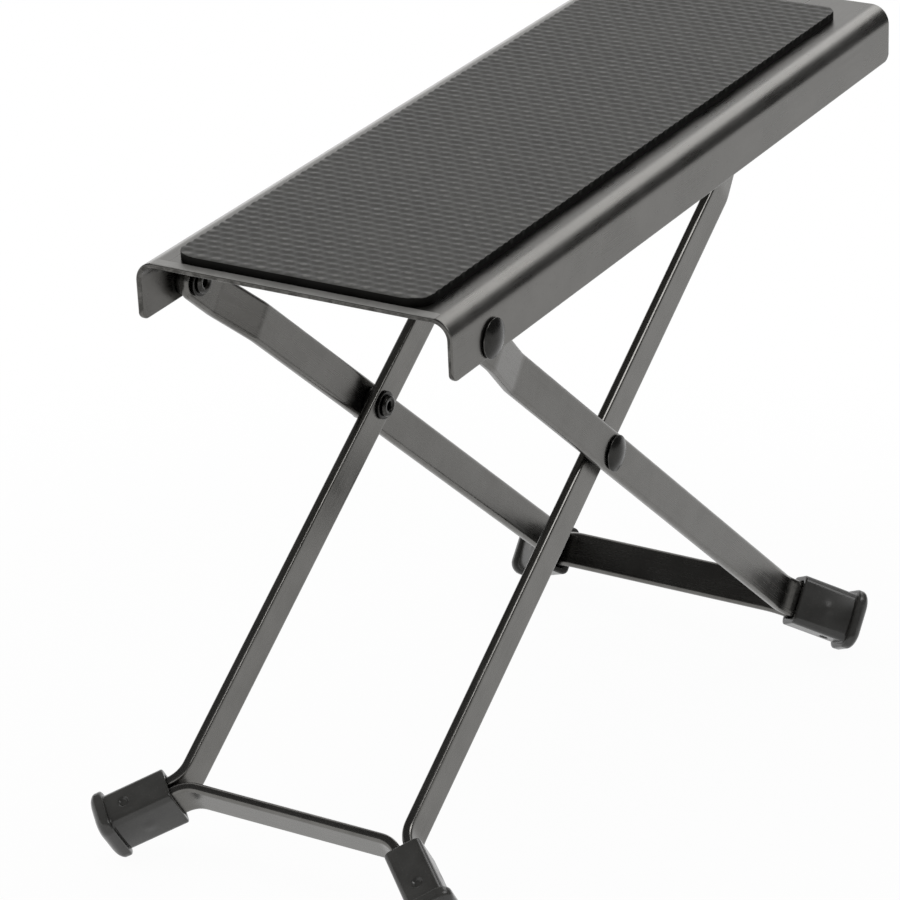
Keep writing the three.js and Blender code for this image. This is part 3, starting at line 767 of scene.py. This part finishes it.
# Rows of place along the lug, half size across, half size up and corner radius; roundings are quarter
# circles and the dome is an ellipse with full shoulders, the cosine to a power below 1
def footRows():
    f = foot
    lipEnd = f["mouth"] + f["lip"]
    quarter = np.linspace(0, np.pi / 2, f["arcCuts"])
    rows = [(along, f["pocketY"], f["pocketZ"], f["pocketCorner"]) for along in f["pocketAt"]]
    for angle in quarter:  # over the mouth's lip, inner half
        out = f["lip"] * (1 - np.cos(angle))
        rows.append((f["mouth"] + f["lip"] * (1 - np.sin(angle)), f["pocketY"] + out,
                     f["pocketZ"] + out, f["mouthCorner"]))
    for angle in quarter:
        out = f["lip"] * (1 - np.sin(angle))
        rows.append((f["mouth"] + f["lip"] * (1 - np.cos(angle)), f["sleeveY"] - out,
                     f["sleeveZ"] - out, f["sleeveCorner"] - out * f["lipCorner"]))
    for along in np.linspace(lipEnd + f["aboveLip"], f["sleeveEnd"] - f["besideCap"], f["cuts"]):
        rows.append((along, f["sleeveY"], f["sleeveZ"], f["sleeveCorner"]))
    for angle in quarter:  # small fillet where the sleeve meets the cap
        out = f["fillet"] * (1 - np.cos(angle))
        rows.append((f["sleeveEnd"] - f["fillet"] * (1 - np.sin(angle)), f["sleeveY"] + out,
                     f["sleeveZ"] + out, f["sleeveCorner"] + out))
    for angle in quarter:  # the rim's own rounding, on the sleeve's side
        out = f["capRound"] * (1 - np.sin(angle))
        rows.append((f["sleeveEnd"] + f["capRound"] * (1 - np.cos(angle)), f["capY"] - out,
                     f["capZ"] - out, f["capCorner"] - out * f["rimCorner"]))
    start = f["sleeveEnd"] + f["capFull"]
    deep = f["capEnd"] - start
    for angle in np.linspace(*f["domeCuts"]) * np.pi / 2:
        share = np.cos(angle) ** f["domeFullness"]
        corner = f["capCorner"] * share ** f["domeCorner"] * min(1, share * f["domePoint"])
        rows.append((start + deep * np.sin(angle), f["capY"] * share, f["capZ"] * share, corner))
    return np.array(rows)


# The rows' rounded rectangles stand across the lug, which leans out by its own angle
def makeFoot(leg, side):
    f = foot
    rows = footRows()
    section = roundedSection(tuple(np.linspace(*f["flatCuts"])))
    across, up = sectionPoints(section, rows[:, 1], rows[:, 2], rows[:, 3])
    along = np.broadcast_to(rows[:, :1], up.shape).copy()
    onSleeve = (rows[:, 0] > f["mouth"] + f["lip"]) & (rows[:, 1] == f["sleeveY"])
    # a round dimple on both narrow faces and a soft swelling on both wide ones
    narrow = (np.abs(np.abs(up) - f["sleeveZ"]) < 1e-6) & onSleeve[:, None]
    wide = (np.abs(np.abs(across) - f["sleeveY"]) < 1e-6) & onSleeve[:, None]
    away = np.hypot(along - f["dimpleAt"], across) / f["dimpleRadius"]
    sink = f["dimpleDepth"] * np.clip(1 - away ** 2, 0, 1) ** f["dimpleWall"]
    off = np.hypot(along - f["swellAt"], up) / f["swellRadius"]
    swell = f["swellHeight"] * np.clip(1 - off ** 2, 0, 1) ** 2
    up = up - np.sign(up) * np.where(narrow, sink, 0)
    across = across + np.sign(across) * np.where(wide, swell, 0)
    # the wide faces are crowned, more so towards the cap: a parabola over the height
    grow = np.clip((along - f["mouth"] - f["lip"]) / (f["sleeveEnd"] - f["mouth"]), 0, 1)
    grow = grow * onSleeve[:, None]
    across = across * (1 + grow * (f["crown"] * (1 - (up / f["sleeveZ"]) ** 2) - f["waist"]))
    angle = np.radians(strip["lugAngle"]) * side
    x = leg["footReach"] + along * np.cos(angle) - across * np.sin(angle)
    y = side * leg["side"] + along * np.sin(angle) + across * np.cos(angle)
    rings = np.stack([x, y, up], -1)
    own = np.stack([along, across, up], -1) * mm
    # the cap's rim and the section's corners take a paler tone: partly wear, partly a painted highlight
    rim = np.abs(rows[:, 0] - f["sleeveEnd"] - f["capFull"]) < f["rimWearAndHighlight"]
    edge = (sectionEdge(section) + rim[:, None]) / 2 + 0 * up
    hand = "left" if side > 0 else "right"
    prefix = leg["group"]
    made = makeSkin(f"{prefix}Foot_{hand}", rings, {"ownPlace": own, "edge": edge}, leg["group"])
    settle(made, leg["body"], f"{prefix}_foot_{hand}", "foot_rubber", footRubber)


for leg in (rear, front):
    for side in (1, -1):
        makeFoot(leg, side)
print("feet made")

# Turned pieces: a section of radius and place pairs carried round the Y axis. Heads are radius and
# height, the bore is pairs of radius and share of the rivet's length.
roundCuts = 72
pin = {
    "treadHead": (5.7, 2.0), "middleHead": (5.5, 1.9), "shank": 2.4, "rolled": 3.4, "rolledStep": 3.3,
    "rolledHeight": 1.1, "rollSink": 0.25, "bore": ((1.3, 0.3), (1.04, 0.5), (0.05, 0.52)), "hole": 2.7,
    "spacer": 4.8, "spacerThick": 1.2, "washer": 4.4, "washerThick": 0.6, "washerSoft": 0.25,
    "gap": 0.3, "domeTilt": 30, "domeCuts": 13, "rimSoft": 0.2, "rimCuts": 4, "underHead": 0.12,
    "rollCuts": 14, "ringCuts": 5, "rimWearAndHighlight": 0.9, "rollWearAndHighlight": 0.7, "ringWear": 0.6,
}


# Each point of a section goes round Y to its radius times cosine and sine of the turn
def turnSection(name, section, group, at, marks, side=1, closedLoop=False):
    section = np.asarray(section, float)
    turn = np.linspace(0, 2 * np.pi, roundCuts, endpoint=False)
    radius, place = section[:, :1], section[:, 1:2]
    x = radius * np.cos(turn) + at[0]
    z = radius * np.sin(turn) + at[2]
    y = side * (at[1] + place) + 0 * x
    rings = np.stack([x, y, z], -1)
    own = np.stack([radius * np.cos(turn), radius * np.sin(turn), place + 0 * x], -1) * mm
    edge = np.asarray(marks, float)[:, None] + 0 * x
    return makeSkin(name, rings, {"ownPlace": own, "edge": edge}, group, closedLoop)


# Points on an ellipse: its centre, plus its radii times cosine and sine
def arc(centre, radii, start, end, steps):
    angle = np.radians(np.linspace(start, end, steps))
    return np.stack([centre[0] + radii[0] * np.cos(angle), centre[1] + radii[1] * np.sin(angle)], -1)


# Domed head, straight shank, rolled hollow end: a circle's arc, lines, and half an ellipse over the roll
def rivetSection(headRadius, headHeight, length):
    tilt = np.radians(pin["domeTilt"])
    ball = (headRadius - pin["rimSoft"]) / np.sin(tilt)
    rim = length + headHeight - ball * (1 - np.cos(tilt))
    turn = np.linspace(0.01, 1, pin["domeCuts"]) * tilt
    cap = np.stack([ball * np.sin(turn), rim + ball * (np.cos(turn) - np.cos(tilt))], -1)
    rimSoft, sink = pin["rimSoft"], pin["rollSink"]
    soft = arc((headRadius - rimSoft, rim - rimSoft), (rimSoft, rimSoft), 50, 0, pin["rimCuts"])
    outer, inner = pin["rolled"], pin["bore"][0][0]
    ring = arc(((outer + inner) / 2, -sink), ((outer - inner) / 2, pin["rolledHeight"] - sink),
               0, -180, pin["rollCuts"])
    shank = [[headRadius - pin["underHead"], length], [pin["shank"], length], [pin["shank"], 0],
             [pin["rolledStep"], 0]]
    bore = [[radius, length * share] for radius, share in pin["bore"]]
    # the head's rim and the rolled end are marked pale: partly wear, partly a painted highlight
    runs = ((cap, 0), (soft, pin["rimWearAndHighlight"]), (shank, 0), (ring, pin["rollWearAndHighlight"]), (bore, 0))
    edge = [np.full(len(run), ribWearAndHighlight) for run, ribWearAndHighlight in runs]
    return np.concatenate([run for run, ribWearAndHighlight in runs]), np.concatenate(edge)


# A flat ring with all four corners rounded
def washerSection(outer, thick):
    inner, soft, cuts = pin["hole"], pin["washerSoft"], pin["ringCuts"]
    section = np.concatenate([
        arc((outer - soft, soft), (soft, soft), -90, 0, cuts),
        arc((outer - soft, thick - soft), (soft, soft), 0, 90, cuts),
        arc((inner + soft, thick - soft), (soft, soft), 90, 180, cuts),
        arc((inner + soft, soft), (soft, soft), 180, 270, cuts),
    ])
    return section, np.full(len(section), pin["ringWear"])


# A rivet with its spacer and washer on both sides, each at its place along Y
def makeStack(prefix, body, group, at, head, stack, spacerAt, innerEnd):
    for side, hand in ((1, "left"), (-1, "right")):
        section, edge = rivetSection(*head, stack + pin["gap"])
        made = turnSection(f"{prefix}Rivet_{hand}", section, group,
                           (at[0], innerEnd, at[2]), edge, side)
        settle(made, body, f"{prefix}_rivet_{hand}", "rivet_steel", rivetSteel)
        for kind, place in (("spacer", spacerAt), ("washer", innerEnd + pin["gap"])):
            section, edge = washerSection(pin[kind], pin[kind + "Thick"])
            made = turnSection(f"{prefix}{kind.capitalize()}_{hand}", section, group,
                               (at[0], place, at[2]), edge, side, closedLoop=True)
            settle(made, body, f"{prefix}_{kind}_{hand}", "rivet_steel", rivetSteel)


gap, bar = pin["gap"], strip["thickness"]
thick = pin["spacerThick"]
treadStack = plate["sheet"] + thick + pin["washerThick"] + bar + 5 * gap
treadInner = plate["width"] / 2 - treadStack
makeStack("tread", "tread", "tread", stance["tread"]["from"], pin["treadHead"], treadStack,
          plate["width"] / 2 - plate["sheet"] - gap - thick, treadInner)
middleStack = 2 * bar + thick + pin["washerThick"] + 4 * gap
middleInner = rear["side"] + bar / 2 - middleStack
makeStack("middle", "rear_leg", "rear", (0, 0, 0), pin["middleHead"], middleStack,
          front["side"] + bar / 2 + gap, middleInner)
print("rivets made")

# Lock rod: a bar with stepped ends, headed over outside the front frame's tops
rod = {
    "radius": 3, "tenon": 2.2, "head": 3.9, "headHeight": 1.6, "headRim": 0.2, "underHead": 0.1,
    "domeFrom": 89, "domeCuts": 12, "wornDome": 3, "soft": 0.3, "softCuts": 4, "runFrom": 1,
    "runCuts": 16,
}


# Half the section is an ellipse's arc for the head, the tenon and a rounded shoulder, then mirrored
def makeRod():
    shoulder = front["topSide"] - bar / 2 - gap
    base = front["topSide"] + bar / 2 + gap
    rim, soft = rod["headRim"], rod["soft"]
    dome = arc((0, base + rim), (rod["head"], rod["headHeight"] - rim), rod["domeFrom"], 0,
               rod["domeCuts"])
    tenon = [[rod["head"] - rod["underHead"], base], [rod["tenon"], base], [rod["tenon"], shoulder]]
    eased = arc((rod["radius"] - soft, shoulder - soft), (soft, soft), 90, 0, rod["softCuts"])
    half = np.concatenate([dome, tenon, eased])
    wearAndPaintedLight = rod["wornDome"]
    halfEdge = np.repeat([0, 1, 0, 1], [len(dome) - wearAndPaintedLight, wearAndPaintedLight, len(tenon), len(eased)])
    runEnd = shoulder - rod["runFrom"]
    run = np.linspace(runEnd, -runEnd, rod["runCuts"])
    middle = np.stack([np.full(run.size, rod["radius"]), run], -1)
    section = np.concatenate([half, middle, half[::-1] * (1, -1)])
    edge = np.concatenate([halfEdge, np.zeros(run.size), halfEdge[::-1]])
    made = turnSection("lockRod", section, "front", (-front["topReach"], 0, 0), edge)
    settle(made, "front_leg", "lock_rod", "strip_steel", stripSteel)


makeRod()

# Racks keep the solid's outline, merged, with their edges eased
rackLook = {"ease": 0.25, "segments": 2, "sharp": 30, "weld": 0.001, "flat": 1}
for hand in ("left", "right"):
    node = frame["nodes"][f"rack_{hand}"]
    mesh = node.data.copy()
    rework(mesh, rackLook["weld"], rackLook["flat"])
    mesh.materials.clear()
    made = addObject(f"rackEased_{hand}", mesh)
    ease = made.modifiers.new("easedEdges", "BEVEL")
    ease.width = rackLook["ease"] * mm
    ease.segments = rackLook["segments"]
    ease.limit_method = "ANGLE"
    ease.angle_limit = np.radians(rackLook["sharp"])
    settle(made, "tread", f"rack_{hand}", "strip_steel", rackSteel)
print("rod and racks made")

# Studio
studio = {
    "reach": 8, "floorColour": (0.86, 0.86, 0.855), "floorShare": 0.96, "shadowRadius": 0.18,
    "clearRadius": 0.42, "ambient": 0.5, "flagGlow": 0.1, "flagColour": (0.015, 0.015, 0.015),
    "flagCuts": (40, 20), "smallLamp": 0.5, "centre": (0.0, 0.0, 0.16),
    # azimuth from +X towards +Y, elevation, distance, width, height, brightness, seen in reflections
    "softBoxes": {
        "backBox": (-6, 40, 1.7, 1.1, 0.9, 1.5, True),
        "lowLeftBox": (42, 9, 1.9, 0.9, 0.7, 0.8, True),
        "topBox": (140, 55, 2.4, 2.4, 2.4, 1.25, False),
        "edgeBox": (275, 41, 1.1, 0.5, 0.5, 4, True),
    },
    # parts of a dark dome that only reflections see: azimuths, elevations, distance
    "flags": {
        "frontFlag": (72, 292, 4, 89, 1.25),
        "topFlag": (-70, 74, 60, 89, 1.25),
        "rightFlag": (-75, -10, -2, 33, 1.25),
    },
}


# A place on a sphere round the centre, and the turn that faces back to it
def aimed(azimuth, elevation, distance):
    a, e = np.radians(azimuth), np.radians(elevation)
    way = Vector((np.cos(a) * np.cos(e), np.sin(a) * np.cos(e), np.sin(e)))
    return Vector(studio["centre"]) + way * distance, way.to_track_quat("Z", "Y").to_euler()


for name, (azimuth, elevation, distance, width, height, bright, shiny) in studio["softBoxes"].items():
    light = bpy.data.lights.new(name, "AREA")
    light.shape = "RECTANGLE"
    light.size, light.size_y = width, height
    light.energy = bright * np.pi * width * height
    lamp = addObject(name, light)
    lamp.location, lamp.rotation_euler = aimed(azimuth, elevation, distance)
    lamp.visible_camera = False
    lamp.visible_glossy = shiny
    lamp.visible_diffuse = width > studio["smallLamp"]  # small lamps only give glints

# each flag is a patch of a sphere: cosine and sine of azimuth and elevation times the distance
flagMaterial, flagTree, flagShader = newMaterial("darkFlag")
feed(flagTree, flagShader, {
    "Base Color": (*studio["flagColour"], 1), "Roughness": 1, "Specular IOR Level": 0,
    "Emission Color": (1, 1, 1, 1), "Emission Strength": studio["flagGlow"],
})
turns, rises = studio["flagCuts"]
for name, (left, right, low, high, distance) in studio["flags"].items():
    azimuths, elevations = np.linspace(left, right, turns), np.linspace(low, high, rises)
    a, e = np.meshgrid(np.radians(azimuths), np.radians(elevations), indexing="ij")
    patch = np.stack([np.cos(a) * np.cos(e), np.sin(a) * np.cos(e), np.sin(e)], -1) * distance
    flag = makePiece(name, (patch + studio["centre"]) / mm, gridFaces(turns, rises))
    flag.data.materials.append(flagMaterial)
    flag.visible_camera = flag.visible_shadow = flag.visible_diffuse = False


# 1 for rays from the camera and those by way of gloss or glass, 0 for all that only light things up
def seenDirectly(tree):
    path = addNode(tree, "LightPath").outputs
    both = calculate(tree, "MAXIMUM", path["Is Camera Ray"], path["Is Glossy Ray"])
    return calculate(tree, "MAXIMUM", both, path["Is Transmission Ray"])


# The floor shows plain white away from the piece, and a little of its own shade round it
floorMaterial, floorTree, floorShader = newMaterial("paleFloor")
feed(floorTree, floorShader, {
    "Base Color": (*studio["floorColour"], 1), "Roughness": 0.8, "Specular IOR Level": 0,
})
white = addNode(floorTree, "Emission", {"Color": (1, 1, 1, 1), "Strength": 1.0})
centred = addNode(floorTree, "TexCoord").outputs["Object"]
away = addNode(floorTree, "VectorMath", {0: centred}, operation="LENGTH").outputs["Value"]
clear = (studio["shadowRadius"], studio["clearRadius"])
share = spread(floorTree, away, clear, to=(studio["floorShare"], 1.0))
seen = calculate(floorTree, "MULTIPLY", seenDirectly(floorTree), share)
blend = addNode(floorTree, "MixShader", {0: seen, 1: floorShader.outputs[0], 2: white.outputs[0]})
floorOut = floorTree.nodes["Material Output"]
floorTree.links.new(blend.outputs[0], floorOut.inputs["Surface"])
reach = studio["reach"]
floorMesh = bpy.data.meshes.new("floor")
floorMesh.from_pydata([(-reach, -reach, 0), (reach, -reach, 0), (reach, reach, 0), (-reach, reach, 0)],
                      [], [(0, 1, 2, 3)])
floorMesh.materials.append(floorMaterial)
floor = addObject("floor", floorMesh)

world = bpy.data.worlds.new("studio")
bpy.context.scene.world = world
world.use_nodes = True
worldTree = world.node_tree
plain = worldTree.nodes["Background"]
plain.inputs["Color"].default_value = (1, 1, 1, 1)
strength = spread(worldTree, seenDirectly(worldTree), to=(studio["ambient"], 1.0))
worldTree.links.new(strength, plain.inputs["Strength"])

bpy.context.scene.view_settings.view_transform = "Standard"
print("studio set")
